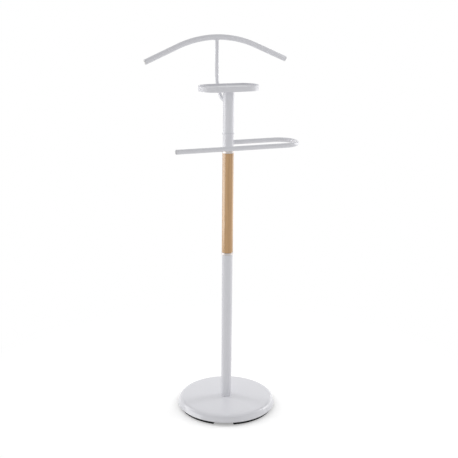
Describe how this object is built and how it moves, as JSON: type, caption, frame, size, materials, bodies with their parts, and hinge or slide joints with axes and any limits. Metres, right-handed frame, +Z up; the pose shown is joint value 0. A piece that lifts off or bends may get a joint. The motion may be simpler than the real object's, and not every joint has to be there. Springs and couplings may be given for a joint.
{
  "type": "valet stand",
  "caption": "Free-standing valet stand: weighted round base, post with a wooden grip, U-shaped trouser bar, shallow oval tray, and a coat hanger on a bent stem.",
  "frame": {"origin": "on the floor, at the middle of the round base, under the axis of the post", "axes": "+Z up the post; +X along the hanger, towards the closed end of the trouser bar; +Y to the back, where the hanger is"},
  "size_m": [0.4454, 0.3, 1.133],
  "materials": {
    "lacquer": "satin silver-grey lacquer on steel",
    "tray_lacquer": "moulded, silver-grey lacquer with a soft gloss",
    "beech": "turned beech, satin clear varnish",
    "spacer_metal": "turned, satin",
    "cap_pale": "pale moulded plastic, fine matt",
    "cap_grey": "grey moulded plastic, fine matt",
    "pad_rubber": "black rubber",
    "black_sheet": "black powder coat",
    "cast_iron": "as cast, oiled",
    "zinc_steel": "zinc plated"
  },
  "bodies": {
    "root": {"base_cover": "lacquer", "ballast_disc": "cast_iron", "base_plate": "black_sheet", "plate_screws": "zinc_steel", "foot_pads": "pad_rubber", "post_bolt": "zinc_steel", "bolt_washer": "zinc_steel", "spring_washer": "zinc_steel", "lower_tube": "lacquer", "lower_tube_foot": "zinc_steel", "lower_tube_head": "zinc_steel", "lower_stud": "zinc_steel", "lower_ring": "spacer_metal", "wood_grip": "beech", "grip_insert_lower": "zinc_steel", "grip_insert_upper": "zinc_steel", "upper_ring": "spacer_metal", "upper_stud": "zinc_steel", "bar_tube": "lacquer", "bar_tube_foot": "zinc_steel", "bar_tube_head": "zinc_steel", "trouser_bar": "lacquer", "trouser_bar_cap": "cap_grey", "joint_ring": "lacquer", "joint_stud": "zinc_steel", "head_tube": "lacquer", "head_tube_foot": "zinc_steel", "tray_bracket": "zinc_steel", "bracket_screws": "zinc_steel", "tray": "tray_lacquer", "hanger_stem": "lacquer", "hanger_bar": "lacquer", "hanger_caps": "cap_pale"}
  },
  "joints": []
}
